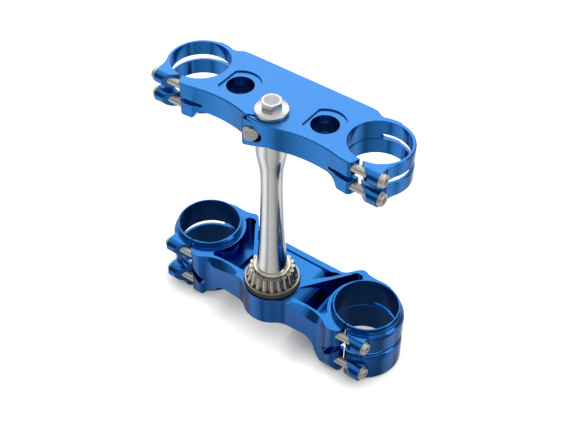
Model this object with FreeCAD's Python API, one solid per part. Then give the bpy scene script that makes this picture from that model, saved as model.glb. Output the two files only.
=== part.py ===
# Motorcycle triple clamp set: a top clamp and a lower clamp, each milled from one aluminium
# billet, joined by a turned steering stem. The lower taper roller bearing and its rubber seal
# sit on the stem. Every pinch screw and the flanged stem bolt is a piece of its own.
#
# Frame: the origin is on the stem axis, level with the underside of the lower clamp rings.
# +Z is up the stem, +Y is the forward side of the bike and +X runs across it. Millimetres.

import FreeCAD, Part
import math
import os

V = FreeCAD.Vector

# Fork tube layout, shared by both clamps
fork_spacing = 187.6
fork_offset = 21.3
upper_tube_dia = 54.0
lower_tube_dia = 60.0

# Top clamp heights
clamp_height = 264.0
ring_depth_top = 34.7
beam_depth_top = 24.0
upper_band_top = 14.1
ring_gap_top = 5.7
front_groove_top = 3.0

# Top clamp outline
front_bulge = 17.6
front_scallop = 10.9
rear_edge_top = 55.8
ring_wall_top = 3.1
ring_shift_top = 1.7
lug_reach_top = 22.8
slit_inset_top = 1.5
slit_top = 3.1
edge_chamfer = 0.8

# Handlebar mount holes in the top clamp
bar_spacing = 88.8
bar_offset = 14.5
bar_bore_dia = 24.6
bar_bore_depth = 15.0
bar_through_dia = 12.5
bar_seat_dia = 38.0
bar_seat_flats = 29.0
bar_seat_depth = 1.5

# Lower clamp heights
deck_low = 59.5
ring_lip_low = 65.8
hub_under_low = 28.0
lower_band_low = 31.5
ring_gap_low = 5.5
pocket_depth = 23.0
deck_step = 1.5

# Lower clamp outline
hub_radius_low = 28.6
rear_edge_low = 47.2
rear_wall_low = 6.2
ring_wall_low = 6.0
lip_wall_low = 2.8
lug_reach_low = 20.8
slit_inset_low = 2.8
slit_low = 1.3
lobe_front_low = 19.4
lobe_round_low = 10.0
lobe_relief_radius = 4.0
lug_radius_low_upper = 8.0
lug_radius_low_lower = 8.9

# Fork pinch screws
screw_dia = 7.8
screw_collar_dia = 13.2
screw_collar_thick = 1.2
screw_head_dia = 11.6
screw_head_height = 4.3
screw_socket_af = 6.0
screw_socket_depth = 2.8
screw_clearance = 0.1
spotface_gap = 0.6
spotface_depth = 0.5
screw_root_top = 15.8
screw_root_low = 16.8
screw_y_top = -10.2
screw_y_low = -14.0
screw_level_low_upper = 51.4
screw_level_low_lower = 15.75

# Stem pinch screw
stem_slit = 1.8
stem_slit_turn = 203.0
stem_screw_dia = 7.8
stem_screw_head_dia = 13.0
stem_screw_head_height = 8.0
stem_screw_pocket_gap = 1.1
stem_screw_level = 16.6
stem_screw_reach = 20.0
stem_screw_turn = 136.0
stem_screw_face_x = -6.75
stem_screw_face_y = -19.4

# Steering stem
stem_top_radius = 14.3
stem_waist_radius = 10.25
stem_seat_radius = 15.0
stem_bore_radius = 8.0
stem_clamp_radius = 10.2
stem_shoulder_depth = 23.0
stem_thread_radius = 6.0
stem_collar_depth = 42.0
stem_gap = 0.5
seat_fit = 0.02

# Stem bolt
bolt_flange_dia = 30.0
bolt_flange_thick = 3.8
bolt_hex_af = 17.0
bolt_hex_turn = 9.0
bolt_head_height = 12.5
bolt_shank_length = 24.0

# Lower bearing and its seal
race_height = 20.0
race_rib_radius = 21.6
race_small_radius = 18.0
race_track_big = 19.4
race_track_small = 16.9
roller_count = 20
roller_length = 13.6
roller_big_dia = 5.5
roller_small_dia = 4.6
roller_gap = 0.06
cage_wall = 0.9
cage_gap = 0.12
cage_rim = 1.7
seal_radius = 26.9
seal_height = 6.2
seal_flange = 3.0

# Places worked out from the sizes above
top = clamp_height
fork_x = fork_spacing / 2
beyond = fork_x + 60.0
slit_x_top = fork_x - slit_inset_top
slit_x_low = fork_x - slit_inset_low
lug_end_top = fork_x + lug_reach_top
lug_end_low = fork_x + lug_reach_low
head_seat_top = lug_end_top - spotface_depth
head_seat_low = lug_end_low - spotface_depth
screw_tip_top = fork_x - screw_root_top
screw_tip_low = fork_x - screw_root_low
upper_r = upper_tube_dia / 2
lower_r = lower_tube_dia / 2
top_gap_upper = top - upper_band_top
top_gap_lower = top_gap_upper - ring_gap_top
top_ring_under = top - ring_depth_top
top_beam_under = top - beam_depth_top
screw_level_top_upper = (top + top_gap_upper) / 2
screw_level_top_lower = (top_gap_lower + top_ring_under) / 2
low_gap_lower = lower_band_low
low_gap_upper = lower_band_low + ring_gap_low
ring_r_low = lower_r + ring_wall_low
pocket_floor = deck_low - pocket_depth
bearing_seat = deck_low - deck_step
race_under = bearing_seat + seal_flange
race_top = race_under + race_height


def point(xy, z=0.0):
    return V(xy[0], xy[1], z)


def outline(start, steps):
    """Closed wire in the XY plane: a step is a point, or a (middle, end) pair for an arc."""
    here = point(start)
    edges = []
    for step in steps:
        if isinstance(step[0], tuple):
            end = point(step[1])
            edges.append(Part.Arc(here, point(step[0]), end).toShape())
        else:
            end = point(step)
            edges.append(Part.LineSegment(here, end).toShape())
        here = end
    if (here - point(start)).Length > 1e-6:
        edges.append(Part.LineSegment(here, point(start)).toShape())
    return Part.Wire(edges)


def prism(start, steps, z0, z1):
    """A plan drawn as (x, y) and pushed up from z0 to z1."""
    face = Part.Face(outline(start, steps))
    return face.extrude(V(0, 0, z1 - z0)).translated(V(0, 0, z0))


def side_prism(start, steps, y0, y1):
    """A profile drawn as (x, z) and pushed along Y."""
    face = Part.Face(outline(start, steps))
    face.rotate(V(0, 0, 0), V(1, 0, 0), 90)
    return face.extrude(V(0, y1 - y0, 0)).translated(V(0, y0, 0))


def end_prism(start, steps, x0, x1):
    """A profile drawn as (y, z) and pushed along X."""
    face = Part.Face(outline(start, steps))
    face.rotate(V(0, 0, 0), V(1, 0, 0), 90)
    face.rotate(V(0, 0, 0), V(0, 0, 1), 90)
    return face.extrude(V(x1 - x0, 0, 0)).translated(V(x0, 0, 0))


def turned(profile):
    """A solid of revolution about the stem axis, from (radius, height) points."""
    points = [V(r, 0, z) for r, z in profile]
    face = Part.Face(Part.makePolygon(points + [points[0]]))
    return face.revolve(V(0, 0, 0), V(0, 0, 1), 360)


def disc(x, y, r, z0, z1):
    return Part.makeCylinder(r, z1 - z0, V(x, y, z0))


def rod_x(x0, x1, y, z, r):
    return Part.makeCylinder(r, x1 - x0, V(x0, y, z), V(1, 0, 0))


def mirrored(shape):
    return shape.mirror(V(0, 0, 0), V(1, 0, 0))


def both_sides(shapes):
    """Each shape and its mirror image on the other side of the stem."""
    return list(shapes) + [mirrored(shape) for shape in shapes]


def whole(half):
    return half.fuse(mirrored(half))


def hexagon(af, z0, z1, turn=0.0):
    r = af / math.sqrt(3)
    corners = [math.radians(turn + 60 * i) for i in range(6)]
    points = [(r * math.cos(a), r * math.sin(a)) for a in corners]
    return prism(points[0], points[1:], z0, z1)


def lug_nose(level, radius, y_axis, x0, x1):
    """A clamp lug: half round about its screw axis, with flat sides running back to the ring."""
    back = y_axis + 24.0
    steps = [
        (y_axis, level - radius),
        ((y_axis - radius, level), (y_axis, level + radius)),
        (back, level + radius),
    ]
    return end_prism((back, level - radius), steps, x0, x1)


def screw(shank_dia, length, head_dia, head_height):
    """A screw with a plain round head, along +X, with the underside of its head at the origin."""
    bevel = 0.7
    r = shank_dia / 2
    shank = Part.makeCylinder(r, length, V(0, 0, 0), V(-1, 0, 0))
    tip = Part.makeCone(r, r - 1, 1, V(-length, 0, 0), V(-1, 0, 0))
    head_r = head_dia / 2
    head = Part.makeCylinder(head_r, head_height - bevel, V(0, 0, 0), V(1, 0, 0))
    crown = Part.makeCone(head_r, head_r - bevel, bevel, V(head_height - bevel, 0, 0), V(1, 0, 0))
    return shank.fuse([tip, head, crown])


def fork_screw_cuts(y, level, seat, tip):
    """The drilled hole and the spot face of one fork pinch screw."""
    hole = rod_x(tip - 2, seat + 1, y, level, screw_dia / 2 + screw_clearance)
    spot = rod_x(seat, beyond, y, level, screw_collar_dia / 2 + spotface_gap)
    return [hole, spot]


def ring_gap(x_front, x_rear, y_rear, z0, z1):
    """A flat slot that parts a ring into an upper and a lower band, with a round root."""
    y_front = -30.0
    y_wall = -14.0
    y_back = 75.0
    slope = (x_rear - x_front) / (y_rear - y_wall)
    near = (x_front + slope * (y_front - y_wall), y_front)
    far = (x_front + slope * (y_back - y_wall), y_back)
    slab = prism(near, [(beyond, y_front), (beyond, y_back), far], z0, z1)
    run = V(far[0] - near[0], far[1] - near[1], 0)
    root = Part.makeCylinder((z1 - z0) / 2, run.Length, V(near[0], near[1], (z0 + z1) / 2), run)
    return slab.fuse(root)


# Top clamp

ring_r_top = upper_r + ring_wall_top + ring_shift_top
ring_x_top = fork_x - ring_shift_top


def is_long_top_edge(edge):
    """The long edges of the top face, along the scalloped front and the straight rear."""
    box = edge.BoundBox
    front = box.YMax < 0 and edge.Length > 9.0
    rear = box.YMin > rear_edge_top - 1 and edge.Length > 90.0
    return box.ZMin > top - 0.01 and (front or rear)


def top_plate():
    """Half of the plate between the fork rings, seen from above, mirrored to a whole."""
    half = prism(
        (0, -front_bulge),
        [
            ((8.2, -front_bulge + 0.4), (16.0, -15.9)),
            ((46.5, -front_scallop), (fork_x - 17.2, -14.4)),
            (fork_x - 7.6, -15.4),
            ((fork_x - 4.6, -14.1), (fork_x - 3.2, -11.4)),
            (slit_x_top, -5.8),
            (fork_x, fork_offset),
            (fork_x - 3.8, 51.8),
            ((fork_x - 11.8, 50.2), (fork_x - 17.6, 51.3)),
            (fork_x - 24.4, 54.9),
            ((fork_x - 26.8, rear_edge_top - 0.3), (fork_x - 29.8, rear_edge_top)),
            (0, rear_edge_top),
        ],
        top_ring_under,
        top,
    )
    plate = whole(half).removeSplitter()
    return plate.makeChamfer(edge_chamfer, [e for e in plate.Edges if is_long_top_edge(e)])


def top_underside():
    """What is milled away under the beam, drawn from the front as (x, z)."""
    half = side_prism(
        (0, top_beam_under),
        [
            (fork_x - 27.8, top_beam_under),
            ((fork_x - 22.8, top_beam_under - 2.2), (fork_x - 18.8, top_beam_under - 8.6)),
            ((fork_x - 17.2, top_ring_under + 0.4), (fork_x - 15.3, top_ring_under - 1)),
            (0, top_ring_under - 1),
        ],
        -40.0,
        90.0,
    )
    return whole(half)


def top_ring():
    return disc(ring_x_top, fork_offset - 0.3, ring_r_top, top_ring_under, top)


def top_lug(level, radius):
    body = lug_nose(level, radius, screw_y_top, fork_x, beyond)
    plan = prism(
        (slit_x_top + slit_top, 4.0),
        [
            (slit_x_top + slit_top, -6.8),
            (fork_x + 13.8, -18.0),
            (lug_end_top, -18.0),
            (lug_end_top, -7.5),
            ((fork_x + 24.0, -1.2), (fork_x + 27.0, 8.6)),
            (fork_x, fork_offset),
        ],
        top_ring_under,
        top,
    )
    return body.common(plan)


def top_slit():
    """The clamp slit: narrow at the bore and opening to the front in a vee."""
    return prism(
        (slit_x_top, 6.0),
        [
            (slit_x_top, -5.8),
            (fork_x - 3.2, -11.4),
            (fork_x - 5.8, -22.0),
            (fork_x + 18.2, -22.0),
            (slit_x_top + slit_top, -6.8),
            (slit_x_top + slit_top, 6.0),
        ],
        top_ring_under - 1,
        top + 1,
    )


def stem_boss():
    """The deeper boss that holds the stem pinch screw. Its front wall is the wall of the plate."""
    end = -19.4
    back = 4.0
    shape = side_prism(
        (end, top - 4.0),
        [
            (end, top - 33.4),
            ((-6.0, top - 29.0), (8.0, top_beam_under + 0.2)),
            (8.0, top - 4.0),
        ],
        -30.0,
        back,
    )
    plan = prism(
        (0, -front_bulge),
        [
            ((8.2, -front_bulge + 0.4), (16.0, -15.9)),
            (16.0, back),
            (end, back),
            (end, -front_bulge),
        ],
        top_ring_under - 1,
        top,
    )
    return shape.common(plan)


def bar_seat(side):
    """The shallow flat-sided recess round a handlebar mount hole."""
    x = side * bar_spacing / 2
    round_part = disc(x, bar_offset, bar_seat_dia / 2, top - bar_seat_depth, top + 1)
    corner = V(x - bar_seat_flats / 2, bar_offset - bar_seat_dia / 2, top - 5)
    return round_part.common(Part.makeBox(bar_seat_flats, bar_seat_dia, 10, corner))


def stem_screw_place(shape):
    """Turns a screw drawn along +X so that its head faces the front wall at its real place."""
    shape.rotate(V(0, 0, 0), V(0, 0, 1), stem_screw_turn + 180)
    way = math.radians(stem_screw_turn)
    seat_x = stem_screw_face_x + stem_screw_head_height * math.cos(way)
    seat_y = stem_screw_face_y + stem_screw_head_height * math.sin(way)
    return shape.translated(V(seat_x, seat_y, top - stem_screw_level))


def stem_clamp_cuts():
    """The slit that lets the stem bore close, and the hole for its pinch screw."""
    slit = Part.makeBox(48.0, stem_slit, 60.0, V(-8.0, -stem_slit / 2, top - 50))
    slit.rotate(V(0, 0, 0), V(0, 0, 1), stem_slit_turn)
    slit.translate(V(-5.2, -11.4, 0))
    hole = rod_x(-stem_screw_reach - 2, 1.0, 0, 0, stem_screw_dia / 2 + screw_clearance)
    spot = rod_x(0, 25.0, 0, 0, stem_screw_head_dia / 2 + stem_screw_pocket_gap)
    return [slit, stem_screw_place(hole), stem_screw_place(spot)]


def make_top_clamp():
    body = top_plate().cut(top_underside())
    lugs = [
        top_lug(screw_level_top_upper, top - screw_level_top_upper),
        top_lug(screw_level_top_lower, screw_level_top_lower - top_ring_under),
    ]
    body = body.fuse(both_sides([top_ring()] + lugs) + [stem_boss()])
    cuts = [top_slit()]
    cuts.append(disc(fork_x, fork_offset, upper_r, top_ring_under - 1, top + 1))
    cuts.append(disc(fork_x, fork_offset, upper_r + 0.8, top_gap_lower, top_gap_upper))
    cuts.append(disc(bar_spacing / 2, bar_offset, bar_bore_dia / 2, top - bar_bore_depth, top + 1))
    cuts.append(disc(bar_spacing / 2, bar_offset, bar_through_dia / 2, top_beam_under - 1, top))
    cuts.append(bar_seat(1))
    gap_rear_x = fork_x - 10.8
    groove_top = top_gap_lower + front_groove_top
    cuts.append(ring_gap(fork_x - 26.6, gap_rear_x, 46.0, top_gap_lower, groove_top))
    cuts.append(ring_gap(slit_x_top, gap_rear_x, 46.0, top_gap_lower, top_gap_upper))
    for level in (screw_level_top_upper, screw_level_top_lower):
        cuts += fork_screw_cuts(screw_y_top, level, head_seat_top, screw_tip_top)
    centre = [
        disc(0, 0, stem_top_radius + seat_fit, top_ring_under - 2, top - stem_shoulder_depth),
        disc(0, 0, stem_clamp_radius + seat_fit, top_ring_under, top + 1),
    ]
    body = body.cut(both_sides(cuts) + centre).removeSplitter()
    return body.cut(stem_clamp_cuts()).removeSplitter()


# Lower clamp

def low_body():
    """Half of the clamp body between the rings, seen from above, mirrored to a whole."""
    lobe = -lobe_front_low
    half = prism(
        (0, -hub_radius_low),
        [
            ((9.0, -27.15), (17.2, -22.85)),
            ((23.2, -18.9), (31.0, -17.2)),
            (fork_x - 30.8, -15.8),
            ((fork_x - 23.8, -16.9), (fork_x - 18.0, lobe + 0.2)),
            ((fork_x - 12.8, lobe), (fork_x - 7.2, lobe + 1.8)),
            (fork_x - 4.8, lobe + 4.4),
            (slit_x_low - slit_low / 2, -9.4),
            (fork_x, fork_offset),
            (fork_x + 9.8, 56.1),
            ((fork_x + 2.5, 58.6), (fork_x - 5.8, 59.7)),
            ((fork_x - 15.0, 59.3), (fork_x - 22.8, 60.4)),
            ((fork_x - 27.8, 61.7), (fork_x - 32.4, 59.6)),
            (fork_x - 38.7, 51.7),
            ((fork_x - 42.0, 48.5), (fork_x - 46.8, rear_edge_low)),
            (0, rear_edge_low),
        ],
        0,
        deck_low,
    )
    return whole(half)


def low_underside():
    """What is milled away below the body, drawn from the front as (x, z)."""
    half = side_prism(
        (0, hub_under_low),
        [
            (fork_x - 45.8, hub_under_low),
            ((fork_x - 38.3, hub_under_low - 3.6), (fork_x - 33.2, 16.0)),
            ((fork_x - 28.2, 5.6), (fork_x - 19.3, -0.6)),
            (fork_x - 19.3, -5.0),
            (0, -5.0),
        ],
        -60.0,
        90.0,
    )
    return whole(half)


def low_flank_relief():
    """The flatter flank of the arch beside the left ring, drawn from the front as (x, z)."""
    return side_prism(
        (-fork_x + 6.0, -1.0),
        [
            ((-fork_x + 13.0, 1.4), (-fork_x + 24.0, 11.0)),
            ((-fork_x + 27.5, 14.2), (-fork_x + 34.0, 17.5)),
            (-fork_x + 34.0, -1.0),
        ],
        -60.0,
        90.0,
    )


def low_lobe_round():
    """The rounded lower front corner of the threaded side of the clamp, drawn as (y, z)."""
    front = -lobe_front_low
    r = lobe_round_low
    bend = r * (1 - math.sqrt(0.5))
    return end_prism(
        (-40.0, r),
        [
            (front, r),
            ((front + bend, bend), (front + r, 0)),
            (front + r, -5.0),
            (-40.0, -5.0),
        ],
        fork_x - 33.8,
        slit_x_low,
    )


def low_lobe_relief():
    """The slanted oblong window milled through the lobe, from the ring gap towards the hub."""
    r = lobe_relief_radius
    upper = V(fork_x - 8.8, -45.0, 33.0)
    lower = V(fork_x - 18.6, -45.0, 24.2)
    run = upper - lower
    side = V(-run.z, 0, run.x) * (r / run.Length)
    corners = [lower + side, upper + side, upper - side, lower - side, lower + side]
    slot = Part.Face(Part.makePolygon(corners)).extrude(V(0, 50.0, 0))
    ends = [Part.makeCylinder(r, 50.0, place, V(0, 1, 0)) for place in (upper, lower)]
    return slot.fuse(ends)


def low_ring():
    """The ring with its two clamp bands and the thin lip above the deck."""
    wall = ring_r_low
    bore = lower_r - 3
    lip = lower_r + lip_wall_low
    points = [
        (bore, 0),
        (wall - 2.5, 0),
        (wall - 0.7, 0.8),
        (wall, 2.8),
        (wall, deck_low - 4.5),
        (wall - 1.0, deck_low - 1.6),
        (wall - 2.9, deck_low + 0.2),
        (lip, deck_low + 0.8),
        (lip, ring_lip_low - 2.2),
        (lower_r + 1.4, ring_lip_low),
        (bore, ring_lip_low),
    ]
    return turned(points).translated(V(fork_x, fork_offset, 0))


def low_band_slope():
    """The sloped upper edge of the lower band, on the outer side of the ring."""
    wall = ring_r_low
    edge = low_gap_lower
    slope = turned([
        (wall - 2.8, edge + 0.5),
        (wall - 2.8, edge),
        (wall - 1.2, edge - 2.0),
        (wall, edge - 6.0),
        (wall + 4.0, edge - 6.0),
        (wall + 4.0, edge + 0.5),
    ]).translated(V(fork_x, fork_offset, 0))
    outer = prism((slit_x_low, -30.0), [(beyond, -30.0), (beyond, 75.0), (slit_x_low, 75.0)], 0, 60)
    return slope.common(outer)


def low_lug(level, radius):
    body = lug_nose(level, radius, screw_y_low, slit_x_low, beyond)
    inner = slit_x_low + slit_low / 2
    plan = prism(
        (inner, 4.0),
        [
            (inner, -9.4),
            (fork_x + 12.6, -23.2),
            (lug_end_low, -23.2),
            (lug_end_low, -4.0),
            (fork_x, fork_offset),
        ],
        0,
        deck_low,
    )
    return body.common(plan)


def low_slit():
    return prism(
        (slit_x_low - slit_low / 2, 6.0),
        [
            (slit_x_low - slit_low / 2, -9.4),
            (fork_x - 4.8, -lobe_front_low + 4.4),
            (fork_x - 8.8, -28.0),
            (fork_x + 17.9, -28.0),
            (slit_x_low + slit_low / 2, -9.4),
            (slit_x_low + slit_low / 2, 6.0),
        ],
        -1,
        ring_lip_low + 1,
    )


def front_pocket():
    """The deep pocket between the hub, the rib, the ring and the front wall."""
    plan = prism(
        (27.9, -8.2),
        [
            ((29.0, -0.6), (28.2, 6.7)),
            (fork_x - 35.6, 49.6),
            ((fork_x - 28.4, 55.0), (fork_x - 23.4, 49.4)),
            ((fork_x - 36.5, 21.3), (fork_x - 26.8, -3.6)),
            ((fork_x - 27.4, -7.4), (fork_x - 31.8, -8.6)),
            ((45.0, -7.4), (27.9, -8.2)),
        ],
        10.0,
        deck_low + 10,
    )
    depth = side_prism(
        (20.0, deck_low - 1.2),
        [
            (29.0, deck_low - 1.8),
            ((38.0, deck_low - 7.0), (44.0, pocket_floor + 5)),
            ((46.0, pocket_floor + 1.2), (49.0, pocket_floor)),
            (fork_x - 13.8, pocket_floor),
            (fork_x - 13.8, deck_low + 5),
            (20.0, deck_low + 5),
        ],
        -20.0,
        70.0,
    )
    return plan.common(depth)


def rear_pocket():
    """The pocket behind the hub: a shallow floor that drops away into two deep corners."""
    inner = rear_edge_low - rear_wall_low
    shelf = deck_low - deck_step
    half = prism(
        (0, 29.2),
        [
            ((16.0, 24.4), (24.6, 15.7)),
            (43.7, 35.2),
            (50.0, 43.8),
            ((43.6, 42.6), (41.0, inner)),
            (0, inner),
        ],
        10.0,
        deck_low + 10,
    )
    depth = side_prism(
        (-1.0, shelf),
        [
            (27.0, shelf),
            ((33.4, shelf - 1.4), (37.4, shelf - 5.0)),
            (40.0, pocket_floor + 2),
            (fork_x - 33.8, pocket_floor + 2),
            (fork_x - 33.8, deck_low + 5),
            (-1.0, deck_low + 5),
        ],
        0.0,
        70.0,
    )
    return whole(half.common(depth))


def front_scoop():
    """The slanted facet scooped out of the upper front wall beside each ring."""
    depth = 17.5
    inner = fork_x - 61.8
    middle = fork_x - 39.8
    outer = fork_x - 15.8
    front = -50.0
    upper = outline(
        (inner, -14.0),
        [((middle, -10.0), (fork_x - 25.1, -14.6)), (fork_x - 17.8, -19.4), (outer, front), (inner, front)],
    )
    lower = outline(
        (inner, -46.0),
        [((middle, -22.8), (fork_x - 27.8, -17.0)), (fork_x - 23.8, -20.0), (outer, front), (inner, front)],
    )
    upper.translate(V(0, 0, deck_low))
    lower.translate(V(0, 0, deck_low - depth))
    loft = Part.makeLoft([lower, upper], True, True)
    return loft.fuse(Part.Face(upper).extrude(V(0, 0, 6)))


def make_lower_clamp():
    body = low_body().cut([low_underside()] + both_sides([front_scoop(), low_lobe_round()]))
    body = body.cut(low_flank_relief())
    lugs = [
        low_lug(screw_level_low_upper, lug_radius_low_upper),
        low_lug(screw_level_low_lower, lug_radius_low_lower),
    ]
    ring = low_ring().cut(low_band_slope())
    body = body.fuse(both_sides([ring] + lugs))
    cuts = [front_pocket(), low_slit(), low_lobe_relief()]
    cuts.append(ring_gap(fork_x - 7.8, fork_x - 11.3, 49.0, low_gap_lower, low_gap_upper))
    cuts.append(disc(fork_x, fork_offset, lower_r, -1, ring_lip_low + 1))
    cuts.append(disc(fork_x, fork_offset, lower_r + 0.6, low_gap_lower, low_gap_upper))
    for level in (screw_level_low_upper, screw_level_low_lower):
        cuts += fork_screw_cuts(screw_y_low, level, head_seat_low, screw_tip_low)
    centre = [
        rear_pocket(),
        disc(0, 0, stem_seat_radius + seat_fit, 0, deck_low + 5),
        disc(0, 0, seal_radius + 0.6, bearing_seat, deck_low + 5),
    ]
    return body.cut(both_sides(cuts) + centre).removeSplitter()


# Steering stem and its bolt

def make_stem():
    """A turned tube: thick at both seats and waisted between them."""
    end = hub_under_low + 0.4
    seat = stem_seat_radius
    shoulder = race_top + 0.6
    collar = top - stem_collar_depth
    step = top - stem_shoulder_depth
    waist = [(13.4, 96.0), (12.4, 111.0), (11.45, 132.0), (10.7, 151.0), (stem_waist_radius, 172.0)]
    neck = [(10.5, collar - 29.0), (11.4, collar - 19.0), (13.0, collar - 10.0)]
    side = [(seat, shoulder)] + waist + neck + [(stem_top_radius, collar)]
    curve = Part.BSplineCurve()
    curve.interpolate([V(r, 0, z) for r, z in side])
    inner_top = top - stem_gap
    lower_end = [(seat - 0.8, end), (seat, end + 0.8), (seat, shoulder)]
    upper_end = [
        (stem_top_radius, collar),
        (stem_top_radius, step),
        (stem_clamp_radius, step),
        (stem_clamp_radius, inner_top - 0.8),
        (stem_clamp_radius - 0.8, inner_top),
        (stem_thread_radius + 0.1, inner_top),
        (stem_thread_radius + 0.1, inner_top - bolt_shank_length - 4),
        (stem_bore_radius, inner_top - bolt_shank_length - 6),
        (stem_bore_radius, end),
        (seat - 0.8, end),
    ]
    edges = [curve.toShape()]
    for run in (lower_end, upper_end):
        for a, b in zip(run, run[1:]):
            edges.append(Part.LineSegment(V(a[0], 0, a[1]), V(b[0], 0, b[1])).toShape())
    wire = Part.Wire(Part.__sortEdges__(edges))
    return Part.Face(wire).revolve(V(0, 0, 0), V(0, 0, 1), 360)


def make_stem_bolt():
    """A flanged hexagon bolt with a coned flange and a dished head."""
    flange_r = bolt_flange_dia / 2
    crown = top + bolt_head_height
    rim = top + bolt_flange_thick
    half_af = bolt_hex_af / 2
    head = hexagon(bolt_hex_af, top + 1, crown, bolt_hex_turn)
    corner_trim = turned([(0, top), (12.0, top), (12.0, crown - 2.0), (half_af - 0.1, crown), (0, crown)])
    flange = turned([
        (0, top),
        (flange_r - 0.5, top),
        (flange_r, top + 0.5),
        (flange_r, rim - 0.5),
        (flange_r - 0.5, rim),
        (10.6, rim + 1.3),
        (0, rim + 1.3),
    ])
    dish = turned([(0, crown - 4.0), (half_af - 1.6, crown), (0, crown)])
    shank = disc(0, 0, stem_thread_radius, top - bolt_shank_length, top)
    return flange.fuse([head.common(corner_trim), shank]).cut(dish).removeSplitter()


# Pinch screws

def make_fork_screw(y, level, seat, tip):
    """A collar screw: a thin wide collar under a round head with a hexagon socket."""
    shape = screw(screw_dia, seat - tip - 1, screw_head_dia, screw_head_height)
    rim = 0.4
    collar_r = screw_collar_dia / 2
    flat = screw_collar_thick - rim
    collar = Part.makeCylinder(collar_r, flat, V(0, 0, 0), V(1, 0, 0))
    slope = Part.makeCone(collar_r, collar_r - rim, rim, V(flat, 0, 0), V(1, 0, 0))
    socket = hexagon(screw_socket_af, 0, screw_socket_depth + 1)
    socket.rotate(V(0, 0, 0), V(0, 1, 0), 90)
    socket.translate(V(screw_head_height - screw_socket_depth, 0, 0))
    shape = shape.fuse([collar, slope]).cut(socket).removeSplitter()
    return shape.translated(V(seat, y, level))


def make_stem_pinch_screw():
    shape = screw(stem_screw_dia, stem_screw_reach, stem_screw_head_dia, stem_screw_head_height)
    return stem_screw_place(shape.removeSplitter())


# Lower bearing: race, cage and rollers, and the seal below it

track_low = race_under + 2.6
track_high = track_low + roller_length
roller_slope = math.atan2(race_track_big - race_track_small, roller_length + 0.8)


def make_race():
    """The inner race: a cone track between a wide rib below and a narrow one above."""
    bore = stem_seat_radius + seat_fit
    return turned([
        (bore, race_under),
        (race_rib_radius, race_under),
        (race_rib_radius, track_low - 0.3),
        (race_track_big, track_low - 0.3),
        (race_track_small, track_high + 0.5),
        (race_small_radius, track_high + 0.5),
        (race_small_radius, race_top - 0.6),
        (race_small_radius - 0.6, race_top),
        (bore + 0.5, race_top),
        (bore, race_top - 0.5),
    ])


def roller_shape(extra):
    """One tapered roller, laid on the sloping track at angle zero."""
    big_r = roller_big_dia / 2 + extra
    small_r = roller_small_dia / 2 + extra
    length = roller_length + 2 * extra
    cone = Part.makeCone(big_r, small_r, length, V(0, 0, -extra), V(0, 0, 1))
    taper = math.atan2(roller_big_dia / 2 - roller_small_dia / 2, roller_length)
    lean = roller_slope + taper
    cone.rotate(V(0, 0, 0), V(0, 1, 0), -math.degrees(lean))
    centre_r = race_track_big - 0.05 + roller_gap + roller_big_dia / 2 * math.cos(roller_slope)
    return cone.translated(V(centre_r, 0, track_low + roller_big_dia / 2 * math.sin(lean)))


def round_the_stem(shape):
    """A list of copies of one shape, one for each roller place."""
    copies = []
    for i in range(roller_count):
        copy = shape.copy()
        copy.rotate(V(0, 0, 0), V(0, 0, 1), 360.0 * i / roller_count)
        copies.append(copy)
    return copies


def make_cage():
    """A pressed sheet cage: a cone wall between the rollers, with a rim at each end."""
    low_r = race_track_big + roller_big_dia / 2 + 0.6
    high_r = race_track_small + roller_small_dia / 2 + 0.6
    z0 = track_low - 0.9
    z1 = track_high + 0.9
    shell = turned([
        (low_r, z0),
        (low_r + cage_rim, z0),
        (low_r + cage_rim, z0 + 0.8),
        (low_r + cage_wall, z0 + 0.8),
        (high_r + cage_wall, z1),
        (high_r + cage_wall - 0.5, z1 + 0.6),
        (race_small_radius + 0.5, z1 + 0.6),
        (race_small_radius + 0.5, z1 - 0.2),
        (high_r, z1 - 0.2),
    ])
    return shell.cut(round_the_stem(roller_shape(cage_gap)))


def make_seal():
    """A rubber ring with a flat foot under the race and a thin lip standing round it."""
    bore = stem_seat_radius + seat_fit
    z = bearing_seat
    return turned([
        (bore, z),
        (seal_radius - 2.2, z),
        (seal_radius - 0.4, z + 0.9),
        (seal_radius, z + 2.4),
        (seal_radius - 0.3, z + 4.4),
        (seal_radius - 1.0, z + seal_height),
        (seal_radius - 1.7, z + seal_height),
        (seal_radius - 2.2, z + seal_flange),
        (bore, z + seal_flange),
    ])


def main():
    os.makedirs("parts", exist_ok=True)
    nodes = {
        "top_clamp": make_top_clamp(),
        "lower_clamp": make_lower_clamp(),
        "steering_stem": make_stem(),
        "stem_bolt": make_stem_bolt(),
        "stem_pinch_screw": make_stem_pinch_screw(),
        "bearing_inner_race": make_race(),
        "bearing_cage": make_cage(),
        "bearing_seal": make_seal(),
    }
    for i, roller in enumerate(round_the_stem(roller_shape(0.0))):
        nodes["bearing_roller_%02d" % (i + 1)] = roller
    rows = {
        "top_upper": (screw_y_top, screw_level_top_upper, head_seat_top, screw_tip_top),
        "top_lower": (screw_y_top, screw_level_top_lower, head_seat_top, screw_tip_top),
        "low_upper": (screw_y_low, screw_level_low_upper, head_seat_low, screw_tip_low),
        "low_lower": (screw_y_low, screw_level_low_lower, head_seat_low, screw_tip_low),
    }
    for row, place in rows.items():
        shape = make_fork_screw(*place)
        nodes["pinch_screw_%s_right" % row] = shape
        nodes["pinch_screw_%s_left" % row] = mirrored(shape)
    for name, shape in nodes.items():
        shape.exportStep("parts/%s.step" % name)
        print(name, shape.isValid(), len(shape.Solids), round(shape.Volume, 1))


main()
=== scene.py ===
import bpy
import bmesh
import math
from mathutils import Matrix, Vector


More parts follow.
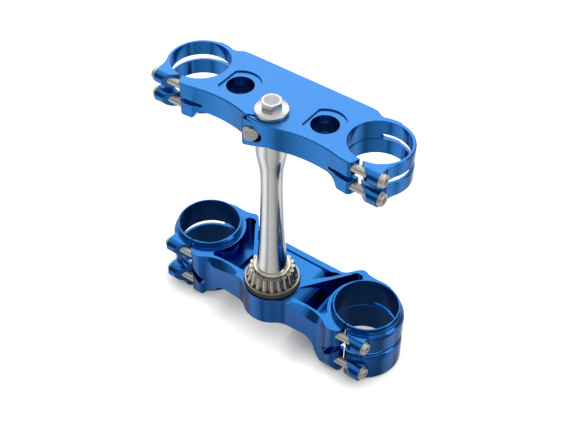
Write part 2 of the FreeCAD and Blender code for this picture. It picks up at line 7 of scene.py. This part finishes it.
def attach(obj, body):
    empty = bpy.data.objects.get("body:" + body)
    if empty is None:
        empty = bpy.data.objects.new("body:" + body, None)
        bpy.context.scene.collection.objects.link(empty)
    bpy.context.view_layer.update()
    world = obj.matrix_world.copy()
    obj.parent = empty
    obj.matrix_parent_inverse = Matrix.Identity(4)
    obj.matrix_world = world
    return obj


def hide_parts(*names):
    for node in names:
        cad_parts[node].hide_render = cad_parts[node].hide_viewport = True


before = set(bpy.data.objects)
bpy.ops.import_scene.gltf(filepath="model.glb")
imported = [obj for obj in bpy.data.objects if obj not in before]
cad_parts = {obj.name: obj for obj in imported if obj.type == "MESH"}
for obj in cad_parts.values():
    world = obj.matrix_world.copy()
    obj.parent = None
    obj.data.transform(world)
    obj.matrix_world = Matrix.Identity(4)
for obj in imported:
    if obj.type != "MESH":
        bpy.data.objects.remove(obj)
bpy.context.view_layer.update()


# Camera. It looks down on the clamp set from the front right, at the angle of the photograph.
camera_place = (0.45175, -0.60293, 0.86952)
camera_turn = math.radians(35.91)
camera_look_down = math.radians(43.89)
camera_roll = math.radians(0.48)
camera_data = bpy.data.cameras.new("camera")
camera_data.lens = 72.61
camera_data.sensor_width = 36.0
camera_data.clip_start = 0.01
camera = bpy.data.objects.new("camera", camera_data)
bpy.context.scene.collection.objects.link(camera)
swing = Matrix.Rotation(camera_turn, 4, "Z")
tip_down = Matrix.Rotation(math.pi / 2 - camera_look_down, 4, "X")
roll = Matrix.Rotation(camera_roll, 4, "Z")
camera.matrix_world = Matrix.Translation(camera_place) @ swing @ tip_down @ roll
bpy.context.scene.camera = camera
bpy.context.scene.view_settings.view_transform = "Standard"


# Studio. A plain white floor under the set, soft boxes behind it and on its right, and pale air.
# The floor shows as white to the camera and keeps the soft shadow close under the lower clamp.
def new_material(name):
    material = bpy.data.materials.new(name)
    material.use_nodes = True
    material.node_tree.nodes.clear()
    return material, material.node_tree.nodes, material.node_tree.links


def white_floor_finish():
    """Matt white. Where the set stands close over it, less of the backdrop's white is added."""
    floor_colour = (0.86, 0.855, 0.845, 1.0)
    colour_to_camera = (0.30, 0.305, 0.31, 1.0)
    backdrop_white = 1.12
    shadow_lean = (0.22, 0.28, 0.93)
    shadow_under_arch = (0.04, 1.6)
    shadow_by_rings = (0.02, 0.9)
    arch_ends, rings_begin = 0.045, 0.085
    mirrored_shadow = (0.15, 1.3)
    material, nodes, links = new_material("white_floor")

    def open_air(reach, depth, lean=None):
        """How open the place is: 1 far from the set, less within reach of it."""
        air = nodes.new("ShaderNodeAmbientOcclusion")
        if lean:
            way = nodes.new("ShaderNodeCombineXYZ")
            for axis, part in enumerate(lean):
                way.inputs[axis].default_value = part
            links.new(way.outputs[0], air.inputs["Normal"])
        air.samples = 12
        air.inputs["Distance"].default_value = reach
        deeper = nodes.new("ShaderNodeMath")
        deeper.operation = "POWER"
        deeper.inputs[1].default_value = depth
        links.new(air.outputs["AO"], deeper.inputs[0])
        return deeper.outputs[0]

    out = nodes.new("ShaderNodeOutputMaterial")
    path = nodes.new("ShaderNodeLightPath")
    seen = nodes.new("ShaderNodeMath")
    seen.operation = "MAXIMUM"
    links.new(path.outputs["Is Camera Ray"], seen.inputs[0])
    links.new(path.outputs["Is Transmission Ray"], seen.inputs[1])
    paint = nodes.new("ShaderNodeMix")
    paint.data_type = "RGBA"
    paint.inputs["A"].default_value = floor_colour
    paint.inputs["B"].default_value = colour_to_camera
    links.new(seen.outputs[0], paint.inputs["Factor"])
    matt = nodes.new("ShaderNodeBsdfDiffuse")
    links.new(paint.outputs["Result"], matt.inputs["Color"])
    lift = nodes.new("ShaderNodeMath")
    lift.operation = "MULTIPLY"
    lift.inputs[1].default_value = backdrop_white
    links.new(seen.outputs[0], lift.inputs[0])
    level = nodes.new("ShaderNodeMath")
    level.operation = "MULTIPLY"
    links.new(lift.outputs[0], level.inputs[0])
    # The arch of the lower clamp throws a wider shadow than the rings, which stand on the floor.
    place = nodes.new("ShaderNodeTexCoord")
    from_middle = nodes.new("ShaderNodeVectorMath")
    from_middle.operation = "LENGTH"
    links.new(place.outputs["Object"], from_middle.inputs[0])
    by_rings = nodes.new("ShaderNodeMapRange")
    by_rings.interpolation_type = "SMOOTHSTEP"
    by_rings.inputs["From Min"].default_value = arch_ends
    by_rings.inputs["From Max"].default_value = rings_begin
    links.new(from_middle.outputs["Value"], by_rings.inputs["Value"])
    shadow = nodes.new("ShaderNodeMix")
    shadow.data_type = "FLOAT"
    links.new(by_rings.outputs["Result"], shadow.inputs["Factor"])
    links.new(open_air(*shadow_under_arch, shadow_lean), shadow.inputs["A"])
    links.new(open_air(*shadow_by_rings, shadow_lean), shadow.inputs["B"])
    links.new(shadow.outputs["Result"], level.inputs[1])
    glow = nodes.new("ShaderNodeEmission")
    links.new(level.outputs[0], glow.inputs["Strength"])
    white = nodes.new("ShaderNodeAddShader")
    links.new(matt.outputs[0], white.inputs[0])
    links.new(glow.outputs[0], white.inputs[1])
    # Polished metal mirrors the pale studio beyond, and the shadow round the set.
    clear = nodes.new("ShaderNodeBsdfTransparent")
    dark = nodes.new("ShaderNodeEmission")
    dark.inputs["Color"].default_value = (0.05, 0.055, 0.06, 1.0)
    mirrored = nodes.new("ShaderNodeMixShader")
    links.new(open_air(*mirrored_shadow), mirrored.inputs["Fac"])
    links.new(dark.outputs[0], mirrored.inputs[1])
    links.new(clear.outputs[0], mirrored.inputs[2])
    choose = nodes.new("ShaderNodeMixShader")
    links.new(path.outputs["Is Glossy Ray"], choose.inputs["Fac"])
    links.new(white.outputs[0], choose.inputs[1])
    links.new(mirrored.outputs[0], choose.inputs[2])
    links.new(choose.outputs[0], out.inputs["Surface"])
    return material


floor_half = 4.0
floor_mesh = bpy.data.meshes.new("floor")
corners = [(x * floor_half, y * floor_half, 0.0) for x, y in ((-1, -1), (1, -1), (1, 1), (-1, 1))]
floor_mesh.from_pydata(corners, [], [(0, 1, 2, 3)])
floor = bpy.data.objects.new("floor", floor_mesh)
floor.data.materials.append(white_floor_finish())
bpy.context.scene.collection.objects.link(floor)


def soft_box(name, place, width, height, power, aim=(0.0, 0.0, 0.13)):
    light = bpy.data.lights.new(name, "AREA")
    light.shape = "RECTANGLE"
    light.size = width
    light.size_y = height
    light.energy = power
    box = bpy.data.objects.new(name, light)
    box.location = place
    box.rotation_euler = (Vector(aim) - Vector(place)).to_track_quat("-Z", "Y").to_euler()
    bpy.context.scene.collection.objects.link(box)


soft_box("back_box", (-0.95, 1.3, 1.55), 2.1, 1.5, 9.0)
soft_box("right_box", (1.6, 0.5, 0.9), 0.7, 1.2, 4.0)


def studio_air():
    """Pale air. In polished metal it shows white panels and grey gaps set round the table,
    a dark room at eye level in front and on the right, and white overhead and behind."""
    # Brightness by bearing in degrees from the right hand side, below eye level and at it.
    round_table = ((-180, 0.43), (-166, 0.50), (-151, 0.78), (-138, 0.95), (-125, 0.90), (-114, 0.78),
                   (-103, 0.55), (-93, 0.28), (-83, 0.54), (-73, 0.56), (-44, 0.48), (-25, 0.38),
                   (-14, 0.28), (-4, 0.28), (17, 0.68), (30, 0.84), (43, 0.72), (58, 0.42), (75, 0.5),
                   (95, 1.0), (115, 1.0), (135, 0.7), (150, 0.8), (165, 0.5), (180, 0.43))
    plain_light, overhead = 0.6, 0.9
    eye_level = ((-180, 0.85), (-165, 0.4), (-140, 0.14), (-54, 0.12), (20, 0.12), (55, 0.2),
                 (80, 0.9), (180, 0.85))
    world = bpy.data.worlds.new("studio")
    world.use_nodes = True
    nodes, links = world.node_tree.nodes, world.node_tree.links
    sky = nodes["Background"]
    way = nodes.new("ShaderNodeTexCoord")
    part = nodes.new("ShaderNodeSeparateXYZ")
    links.new(way.outputs["Generated"], part.inputs[0])
    bearing = nodes.new("ShaderNodeMath")
    bearing.operation = "ARCTAN2"
    links.new(part.outputs["Y"], bearing.inputs[0])
    links.new(part.outputs["X"], bearing.inputs[1])
    turn = nodes.new("ShaderNodeMapRange")
    turn.inputs["From Min"].default_value = -math.pi
    turn.inputs["From Max"].default_value = math.pi
    links.new(bearing.outputs[0], turn.inputs["Value"])

    def panels(levels):
        ramp = nodes.new("ShaderNodeValToRGB")
        ramp.color_ramp.interpolation = "EASE"
        stops = ramp.color_ramp.elements
        stops[1].position = 1.0
        for degrees, level in levels:
            spot = (degrees + 180.0) / 360.0
            stop = stops[0] if spot == 0.0 else stops[len(stops) - 1] if spot == 1.0 else stops.new(spot)
            stop.color = (level, level, level, 1.0)
        links.new(turn.outputs["Result"], ramp.inputs["Fac"])
        return ramp.outputs["Color"]

    def by_height(low, high):
        height = nodes.new("ShaderNodeMapRange")
        height.interpolation_type = "SMOOTHSTEP"
        height.inputs["From Min"].default_value = low
        height.inputs["From Max"].default_value = high
        links.new(part.outputs["Z"], height.inputs["Value"])
        return height.outputs["Result"]

    def blend(amount, first, second):
        mix = nodes.new("ShaderNodeMix")
        mix.data_type = "FLOAT"
        for socket, value in zip(("Factor", "A", "B"), (amount, first, second)):
            if isinstance(value, float):
                mix.inputs[socket].default_value = value
            else:
                links.new(value, mix.inputs[socket])
        return mix.outputs["Result"]

    path = nodes.new("ShaderNodeLightPath")
    up_to_eyes = blend(by_height(-0.42, -0.1), panels(round_table), panels(eye_level))
    mirrored = blend(by_height(0.42, 0.8), up_to_eyes, overhead)
    sky.inputs["Color"].default_value = (0.95, 0.97, 1.0, 1.0)
    links.new(blend(path.outputs["Is Glossy Ray"], plain_light, mirrored), sky.inputs["Strength"])
    bpy.context.scene.world = world


studio_air()


# Top clamp. One plate milled from aluminium billet, with a split ring at each end for the fork
# tubes. Its top face is bead blasted before it is anodised blue; the bores keep their tool marks.
fork_x, fork_y = 0.0938, 0.0213


def from_fork_axis(place):
    """How far a place is from the axis of the fork tube on its side."""
    return math.hypot(abs(place.x) - fork_x, place.y - fork_y)


def blue_anodised(name, face_colour, wall_colour, face_roughness, wall_roughness, painted_shade_tone):
    """Dyed oxide over bright metal: satin on the flat upper faces, deeper and glossier on walls.
    The last argument is how much of the colour is left under the painted shade deep in a pocket or bore."""
    grain_size = 9000.0
    edge_round = 0.0003
    painted_shade_reach = 0.03
    material, nodes, links = new_material(name)
    out = nodes.new("ShaderNodeOutputMaterial")
    metal = nodes.new("ShaderNodeBsdfPrincipled")
    metal.inputs["Metallic"].default_value = 1.0
    metal.inputs["Coat Weight"].default_value = 0.45
    metal.inputs["Coat Roughness"].default_value = 0.08
    place = nodes.new("ShaderNodeTexCoord")
    shape = nodes.new("ShaderNodeNewGeometry")
    split = nodes.new("ShaderNodeSeparateXYZ")
    links.new(shape.outputs["Normal"], split.inputs[0])
    flat = nodes.new("ShaderNodeMapRange")
    flat.inputs["From Min"].default_value = 0.8
    flat.inputs["From Max"].default_value = 0.98
    links.new(split.outputs["Z"], flat.inputs["Value"])
    dye = nodes.new("ShaderNodeMix")
    dye.data_type = "RGBA"
    dye.inputs["A"].default_value = wall_colour + (1.0,)
    dye.inputs["B"].default_value = face_colour + (1.0,)
    links.new(flat.outputs["Result"], dye.inputs["Factor"])
    cloud = nodes.new("ShaderNodeTexNoise")
    cloud.inputs["Scale"].default_value = 18.0
    cloud.inputs["Detail"].default_value = 3.0
    links.new(place.outputs["Object"], cloud.inputs["Vector"])
    shade = nodes.new("ShaderNodeMapRange")
    shade.inputs["To Min"].default_value = 0.93
    shade.inputs["To Max"].default_value = 1.07
    links.new(cloud.outputs["Fac"], shade.inputs["Value"])
    # Painted shade: in pockets and bores the colour is darkened, the more the closer the walls stand
    # round.
    painted_shade_ao = nodes.new("ShaderNodeAmbientOcclusion")
    painted_shade_ao.samples = 8
    painted_shade_ao.inputs["Distance"].default_value = painted_shade_reach
    deeper = nodes.new("ShaderNodeMapRange")
    deeper.inputs["From Min"].default_value = 0.15
    deeper.inputs["From Max"].default_value = 0.75
    deeper.inputs["To Min"].default_value = painted_shade_tone
    links.new(painted_shade_ao.outputs["AO"], deeper.inputs["Value"])
    # The random tone times the painted shade of the hollows.
    depth = nodes.new("ShaderNodeMath")
    depth.operation = "MULTIPLY"
    links.new(shade.outputs["Result"], depth.inputs[0])
    links.new(deeper.outputs["Result"], depth.inputs[1])
    tint = nodes.new("ShaderNodeVectorMath")
    tint.operation = "SCALE"
    links.new(dye.outputs["Result"], tint.inputs[0])
    links.new(depth.outputs[0], tint.inputs["Scale"])
    links.new(tint.outputs["Vector"], metal.inputs["Base Color"])
    gloss = nodes.new("ShaderNodeMapRange")
    gloss.inputs["To Min"].default_value = wall_roughness
    gloss.inputs["To Max"].default_value = face_roughness
    links.new(flat.outputs["Result"], gloss.inputs["Value"])
    vary = nodes.new("ShaderNodeMath")
    vary.operation = "MULTIPLY_ADD"
    vary.inputs[1].default_value = 0.06
    links.new(cloud.outputs["Fac"], vary.inputs[0])
    links.new(gloss.outputs["Result"], vary.inputs[2])
    links.new(vary.outputs[0], metal.inputs["Roughness"])
    grain = nodes.new("ShaderNodeTexNoise")
    grain.inputs["Scale"].default_value = grain_size
    grain.inputs["Detail"].default_value = 2.0
    links.new(place.outputs["Object"], grain.inputs["Vector"])
    edge = nodes.new("ShaderNodeBevel")
    edge.samples = 6
    edge.inputs["Radius"].default_value = edge_round
    bump = nodes.new("ShaderNodeBump")
    bump.inputs["Strength"].default_value = 0.05
    bump.inputs["Distance"].default_value = 0.00005
    links.new(grain.outputs["Fac"], bump.inputs["Height"])
    links.new(edge.outputs["Normal"], bump.inputs["Normal"])
    links.new(bump.outputs["Normal"], metal.inputs["Normal"])
    links.new(metal.outputs[0], out.inputs["Surface"])
    return material


def finish_node(node, material):
    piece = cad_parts[node]
    piece.data.materials.clear()
    piece.data.materials.append(material)


def scooped(mesh, scoops):
    """The mesh with a lens-shaped scoop cut at each place, given as its middle and half sizes."""
    blank = bpy.data.objects.new("blank", mesh)
    bpy.context.scene.collection.objects.link(blank)
    cutters = []
    for middle, half_sizes in scoops:
        lens = bmesh.new()
        bmesh.ops.create_uvsphere(lens, u_segments=48, v_segments=24, radius=1.0)
        bmesh.ops.scale(lens, vec=half_sizes, verts=lens.verts)
        bmesh.ops.translate(lens, vec=middle, verts=lens.verts)
        lens_mesh = bpy.data.meshes.new("lens")
        lens.to_mesh(lens_mesh)
        lens.free()
        cutter = bpy.data.objects.new("lens", lens_mesh)
        bpy.context.scene.collection.objects.link(cutter)
        cut = blank.modifiers.new("scoop", "BOOLEAN")
        cut.operation = "DIFFERENCE"
        cut.solver = "EXACT"
        cut.object = cutter
        cutters.append(cutter)
    evaluated = blank.evaluated_get(bpy.context.evaluated_depsgraph_get())
    result = bpy.data.meshes.new_from_object(evaluated)
    for used in cutters + [blank]:
        bpy.data.objects.remove(used)
    return result


def deburred(node, rounding, scoops=()):
    """A copy of a milled part with its outside corners broken, as the deburring wheel leaves them.
    rounding gives the radius for a corner, from its place and the pass: the first pass takes each
    corner steeper than 38 degrees, the second what is still steeper than 55 degrees."""
    same_point = 0.000001
    flat_enough = math.radians(0.6)
    crease, crease_on_rounding = math.radians(18), math.radians(38)
    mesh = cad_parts[node].data.copy()
    if scoops:
        mesh = scooped(mesh, scoops)
    part = bmesh.new()
    part.from_mesh(mesh)
    bmesh.ops.remove_doubles(part, verts=part.verts, dist=same_point)
    bmesh.ops.dissolve_limit(part, angle_limit=flat_enough, verts=part.verts, edges=part.edges)
    level_faces = [face for face in part.faces if abs(face.normal.z) > 0.999]
    bmesh.ops.triangulate(part, faces=level_faces)
    rounded = part.faces.layers.int.new("rounded")
    for least_slope in (38, 55):
        sizes = {}
        for edge in part.edges:
            slope = edge.calc_face_angle(0.0)
            if len(edge.link_faces) != 2 or not edge.is_convex or slope <= math.radians(least_slope):
                continue
            middle = (edge.verts[0].co + edge.verts[1].co) / 2
            size = rounding(middle, least_slope)
            if size:
                sizes.setdefault(size, []).append(edge)
        for size, edges in sizes.items():
            made = bmesh.ops.bevel(part, geom=edges, offset=size, offset_type="OFFSET", segments=3,
                                   profile=0.5, affect="EDGES", clamp_overlap=False)
            for face in made["faces"]:
                face[rounded] = 1
    for face in part.faces:
        face.smooth = True
    for edge in part.edges:
        on_rounding = any(face[rounded] for face in edge.link_faces)
        edge.smooth = edge.calc_face_angle(0.0) < (crease_on_rounding if on_rounding else crease)
    part.to_mesh(mesh)
    part.free()
    piece = bpy.data.objects.new(node + "_milled", mesh)
    bpy.context.scene.collection.objects.link(piece)
    even = piece.modifiers.new("even_faces", "WEIGHTED_NORMAL")
    even.keep_sharp = True
    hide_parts(node)
    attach(piece, "clamp_set")
    return piece


def finish_bores(piece, bore, finish):
    """The fork tube bores keep the fine marks of the boring bar, so they are less glossy."""
    measuring_slack, steepest_for_wall = 0.0002, 0.3
    piece.data.materials.append(finish)
    for face in piece.data.polygons:
        is_wall = abs(face.normal.z) < steepest_for_wall
        if is_wall and from_fork_axis(face.center) < bore + measuring_slack:
            face.material_index = 1


def top_rounding(place, least_slope):
    """Full rounds on the outside of the clamp bands first, then small ones, none in the scoops."""
    bore, band_round, edge_round = 0.027, 0.0016, 0.0004
    on_outside = abs(place.x) > fork_x + 0.004 and place.y > -0.004
    on_band = on_outside and from_fork_axis(place) > bore + 0.0015
    by_slit = place.y < -0.008 and abs(place.x) < 0.101 and 0.2415 < place.z < 0.2499
    if least_slope < 50:
        return band_round if on_band else None
    return None if by_slit else edge_round


satin_blue = (0.026, 0.2, 0.56)
deep_blue = (0.006, 0.195, 0.6)
# The slit ends in the front wall in a lens-shaped scoop on each side.
scoop_x, scoop_y, scoop_z = 0.083, -0.015, 0.2457
scoop_half_sizes = (0.0165, 0.005, 0.0028)
slit_scoops = [((side * scoop_x, scoop_y, scoop_z), scoop_half_sizes) for side in (-1, 1)]
top_piece = deburred("top_clamp", top_rounding, slit_scoops)
top_piece.data.materials.clear()
# The last number is how much colour the painted shade leaves in pockets and bores.
top_piece.data.materials.append(blue_anodised("top_clamp_blue", satin_blue, deep_blue, 0.32, 0.12, 0.3))


# Lower clamp. Milled from billet like the top one, deeper, with pockets and two tall rings, and
# polished a little brighter before it was anodised.
low_bore = 0.030
bored_blue = (0.012, 0.15, 0.47)
deeper_blue = (0.004, 0.145, 0.52)
polished_blue = (0.004, 0.145, 0.45)


def low_rounding(place, least_slope):
    """Full rounds on the outside of the clamp bands first, then small ones on the rings."""
    band_round, edge_round = 0.0014, 0.0005
    on_outside = abs(place.x) > fork_x + 0.004 and place.y > -0.006
    on_band = on_outside and from_fork_axis(place) > low_bore + 0.003
    on_ring = abs(place.x) > 0.068 and place.y > -0.004
    if least_slope < 50:
        return band_round if on_band else None
    return edge_round if on_ring else None


low_piece = deburred("lower_clamp", low_rounding)
low_piece.data.materials.clear()
# The last number in each is how much colour the painted shade leaves in pockets; at 1.0 the bores get
# none.
low_finish = blue_anodised("lower_clamp_blue", polished_blue, deeper_blue, 0.2, 0.12, 0.8)
low_piece.data.materials.append(low_finish)
bore_finish = blue_anodised("lower_bore_blue", polished_blue, bored_blue, 0.2, 0.36, 1.0)
finish_bores(low_piece, low_bore, bore_finish)


# Steering stem. A tube turned from aluminium bar and left silver, with fine turning marks.
def turned_metal(name, colour, roughness, ring_pitch, ring_depth, metallic=1.0):
    material, nodes, links = new_material(name)
    out = nodes.new("ShaderNodeOutputMaterial")
    metal = nodes.new("ShaderNodeBsdfPrincipled")
    metal.inputs["Metallic"].default_value = metallic
    place = nodes.new("ShaderNodeTexCoord")
    cloud = nodes.new("ShaderNodeTexNoise")
    cloud.inputs["Scale"].default_value = 60.0
    cloud.inputs["Detail"].default_value = 4.0
    links.new(place.outputs["Object"], cloud.inputs["Vector"])
    tint = nodes.new("ShaderNodeMix")
    tint.data_type = "RGBA"
    tint.inputs["A"].default_value = tuple(c * 0.93 for c in colour[:3]) + (1.0,)
    tint.inputs["B"].default_value = tuple(min(1.0, c * 1.05) for c in colour[:3]) + (1.0,)
    links.new(cloud.outputs["Fac"], tint.inputs["Factor"])
    links.new(tint.outputs["Result"], metal.inputs["Base Color"])
    vary = nodes.new("ShaderNodeMath")
    vary.operation = "MULTIPLY_ADD"
    vary.inputs[1].default_value = 0.08
    vary.inputs[2].default_value = roughness
    links.new(cloud.outputs["Fac"], vary.inputs[0])
    links.new(vary.outputs[0], metal.inputs["Roughness"])
    rings = nodes.new("ShaderNodeTexWave")
    rings.bands_direction = "Z"
    rings.inputs["Scale"].default_value = 1.0 / (ring_pitch * 20.0)
    rings.inputs["Distortion"].default_value = 0.6
    rings.inputs["Detail"].default_value = 2.0
    links.new(place.outputs["Object"], rings.inputs["Vector"])
    bump = nodes.new("ShaderNodeBump")
    bump.inputs["Strength"].default_value = 0.25
    bump.inputs["Distance"].default_value = ring_depth
    links.new(rings.outputs["Fac"], bump.inputs["Height"])
    links.new(bump.outputs["Normal"], metal.inputs["Normal"])
    links.new(metal.outputs[0], out.inputs["Surface"])
    return material


finish_node("steering_stem", turned_metal("stem_silver", (0.94, 0.93, 0.91), 0.12, 0.0003, 0.000004))


# Stem bolt. A flanged hexagon bolt turned from steel, screwed down into the stem.
finish_node("stem_bolt", turned_metal("bolt_silver", (0.66, 0.66, 0.645), 0.24, 0.0004, 0.000006))


# Pinch screws. Socket head screws, zinc plated to a warm matt grey.
zinc = turned_metal("zinc_plate", (0.72, 0.70, 0.63), 0.38, 0.0005, 0.00001, metallic=0.7)
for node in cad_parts:
    if "pinch_screw" in node:
        finish_node(node, zinc)


# Lower bearing. A ground steel inner race pressed on the stem, and tapered rollers that run on it.
bearing_steel = turned_metal("bearing_steel", (0.62, 0.585, 0.495), 0.2, 0.0003, 0.000004)
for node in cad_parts:
    if node.startswith("bearing_roller") or node == "bearing_inner_race":
        finish_node(node, bearing_steel)


# Bearing cage. A cone pressed from thin steel sheet, with a window for each roller, narrow bars
# between them and a flat rim at the wide end.
def pressed_cage():
    rollers, pieces_a_window = 20, 6
    bar_width = 0.00115
    axis_radius, axis_height = 0.02212, 0.06416
    axis_lean = math.radians(11.75)
    wall_inside, wall_outside = -0.0001, 0.0006
    foot_low, foot_high = 0.0627, 0.0633
    foot_inside, foot_outside = 0.02435, 0.0245
    neck_inside, neck_outside = 0.02495, 0.025
    rim_radius, rim_low, rim_high, rim_fall = 0.0262, 0.06435, 0.0649, 0.00005
    window_low, window_high, wall_top = 0.0640, 0.0777, 0.0784
    rows = []
    for height in (foot_high, window_low, window_high, wall_top):
        axis = axis_radius - (height - axis_height) * math.tan(axis_lean)
        rows.append((axis + wall_inside, axis + wall_outside, height))
    first_inside, first_outside = rows[0][0], rows[0][1]
    # The foot turns up outside the roller ends and ends in the rim, just over the seal.
    section = [(first_inside, foot_low), (foot_outside, foot_low), (neck_outside, rim_low - rim_fall),
               (rim_radius, rim_low), (rim_radius, rim_high), (neck_inside, rim_high),
               (foot_inside, foot_high), (first_outside, foot_high)]
    part = bmesh.new()

    def point(radius, turn, height):
        return part.verts.new((radius * math.cos(turn), radius * math.sin(turn), height))

    def turns(radius):
        pitch = 2 * math.pi / rollers
        bar = bar_width / radius
        for roller in range(rollers):
            start = (roller + 0.5) * pitch + bar / 2
            yield start - bar
            for step in range(pieces_a_window):
                yield start + (pitch - bar) * step / pieces_a_window

    columns = rollers * (pieces_a_window + 1)
    loops = []
    for radius, height in section:
        loops.append([point(radius, turn, height) for turn in turns(first_outside)])
    for inside, outside, height in rows[1:]:
        loops.append([point(outside, turn, height) for turn in turns(outside)])
    for inside, outside, height in reversed(rows[1:]):
        loops.append([point(inside, turn, height) for turn in turns(outside)])
    outer_low = len(section)
    outer_high, inner_high, inner_low = outer_low + 1, outer_low + 4, outer_low + 5
    count = len(loops)
    for row in range(count):
        here, there = loops[row], loops[(row + 1) % count]
        for column in range(columns):
            is_window = column % (pieces_a_window + 1) != 0
            if is_window and row in (outer_low, inner_high):
                continue
            after = (column + 1) % columns
            part.faces.new((here[column], here[after], there[after], there[column]))
    for column in range(columns):
        after = (column + 1) % columns
        if column % (pieces_a_window + 1):
            part.faces.new((loops[outer_low][column], loops[outer_low][after],
                            loops[inner_low][after], loops[inner_low][column]))
            part.faces.new((loops[inner_high][column], loops[inner_high][after],
                            loops[outer_high][after], loops[outer_high][column]))
        else:
            for side in (column, after):
                part.faces.new((loops[outer_low][side], loops[outer_high][side],
                                loops[inner_high][side], loops[inner_low][side]))
    bmesh.ops.recalc_face_normals(part, faces=part.faces)
    mesh = bpy.data.meshes.new("cage")
    part.to_mesh(mesh)
    part.free()
    for face in mesh.polygons:
        face.use_smooth = True
    mesh.set_sharp_from_angle(angle=math.radians(35))
    return mesh


cage = bpy.data.objects.new("cage", pressed_cage())
cage.data.materials.append(turned_metal("cage_steel", (0.46, 0.44, 0.38), 0.32, 0.0006, 0.00001))
bpy.context.scene.collection.objects.link(cage)
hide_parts("bearing_cage")
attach(cage, "bearing_rollers")


# Bearing seal. A moulded rubber ring under the bearing, matt and brownish black.
def seal_rubber():
    material, nodes, links = new_material("seal_rubber")
    out = nodes.new("ShaderNodeOutputMaterial")
    rubber = nodes.new("ShaderNodeBsdfPrincipled")
    rubber.inputs["Specular IOR Level"].default_value = 0.4
    place = nodes.new("ShaderNodeTexCoord")
    cloud = nodes.new("ShaderNodeTexNoise")
    cloud.inputs["Scale"].default_value = 400.0
    links.new(place.outputs["Object"], cloud.inputs["Vector"])
    tint = nodes.new("ShaderNodeMix")
    tint.data_type = "RGBA"
    tint.inputs["A"].default_value = (0.055, 0.052, 0.037, 1.0)
    tint.inputs["B"].default_value = (0.088, 0.083, 0.062, 1.0)
    links.new(cloud.outputs["Fac"], tint.inputs["Factor"])
    links.new(tint.outputs["Result"], rubber.inputs["Base Color"])
    vary = nodes.new("ShaderNodeMath")
    vary.operation = "MULTIPLY_ADD"
    vary.inputs[1].default_value = 0.15
    vary.inputs[2].default_value = 0.5
    links.new(cloud.outputs["Fac"], vary.inputs[0])
    links.new(vary.outputs[0], rubber.inputs["Roughness"])
    bump = nodes.new("ShaderNodeBump")
    bump.inputs["Strength"].default_value = 0.3
    bump.inputs["Distance"].default_value = 0.00003
    links.new(cloud.outputs["Fac"], bump.inputs["Height"])
    links.new(bump.outputs["Normal"], rubber.inputs["Normal"])
    links.new(rubber.outputs[0], out.inputs["Surface"])
    return material


finish_node("bearing_seal", seal_rubber())
